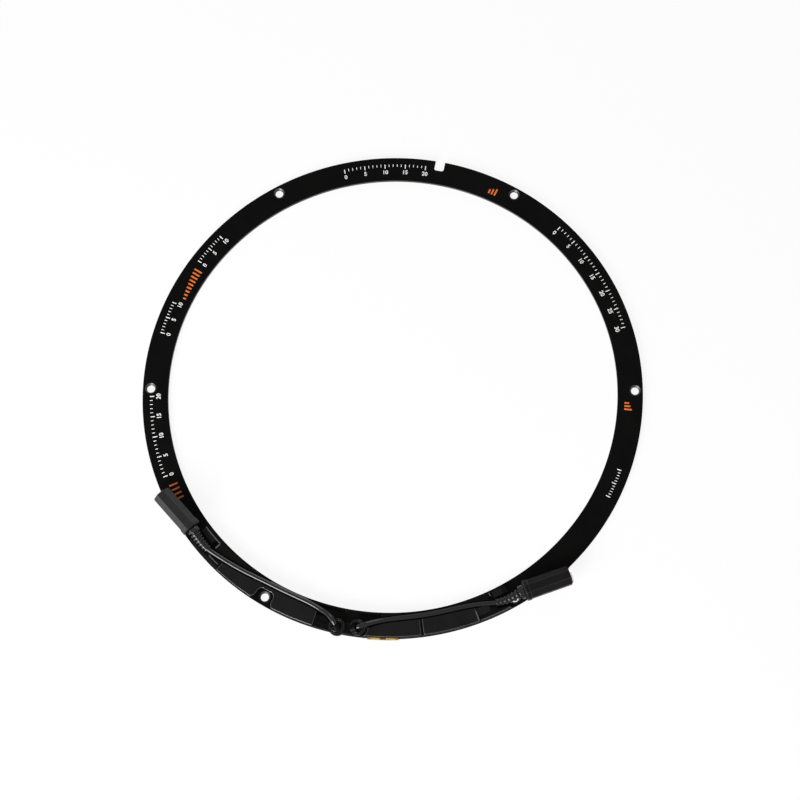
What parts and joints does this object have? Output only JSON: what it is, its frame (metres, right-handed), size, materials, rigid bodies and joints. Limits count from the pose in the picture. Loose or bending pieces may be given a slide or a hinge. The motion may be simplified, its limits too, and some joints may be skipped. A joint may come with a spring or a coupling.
{
  "type": "telescope dew heater ring",
  "caption": "Flat heated ring for a telescope's front cell, with screw holes, a key notch, a wiring cover, and short cables that end in connectors.",
  "frame": {"origin": "centre of the ring, on its back face (the outer face of the heater film)", "axes": "+Z out of the ring's front face, which carries the wiring cover; +Y towards the picture's top, near the key notch; +X to the picture's right, through a screw hole"},
  "size_m": [0.263, 0.2635, 0.0128],
  "materials": {
    "anodised_aluminium": "black anodised, satin",
    "polyimide": "amber film, smooth",
    "adhesive": "grey adhesive layer",
    "cover_plastic": "black moulded plastic, slightly glossy",
    "connector_plastic": "dark grey moulded plastic",
    "cable_jacket": "black flexible jacket, semi-gloss",
    "circuit_board": "green solder mask",
    "solder": "bright solder",
    "plated_contact": "nickel plated",
    "insulation": "black insulating plastic",
    "red_insulation": "red wire insulation",
    "epoxy": "dark epoxy bead"
  },
  "bodies": {
    "root": {"ring_plate": "anodised_aluminium", "glue_layer": "adhesive", "heater_film": "polyimide", "base_tray": "cover_plastic", "lid_left": "cover_plastic", "lid_right_inner": "cover_plastic", "lid_right_outer": "cover_plastic", "cable_gland": "cover_plastic", "cable_left": "cable_jacket", "cable_right": "cable_jacket", "relief_left": "cable_jacket", "relief_right": "cable_jacket", "connector_left_shell": "connector_plastic", "connector_left_bush": "plated_contact", "connector_left_insert": "insulation", "connector_left_contact": "plated_contact", "connector_right_shell": "connector_plastic", "connector_right_barrel": "plated_contact", "connector_right_insert": "insulation", "connector_right_contact": "plated_contact", "terminal_board": "circuit_board", "tail_pad_1": "solder", "tail_pad_2": "solder", "solder_joint_1": "solder", "solder_joint_2": "solder", "power_lead_1": "insulation", "power_lead_2": "red_insulation", "thermistor": "epoxy", "sensor_lead_1": "insulation", "sensor_lead_2": "insulation"}
  },
  "joints": []
}
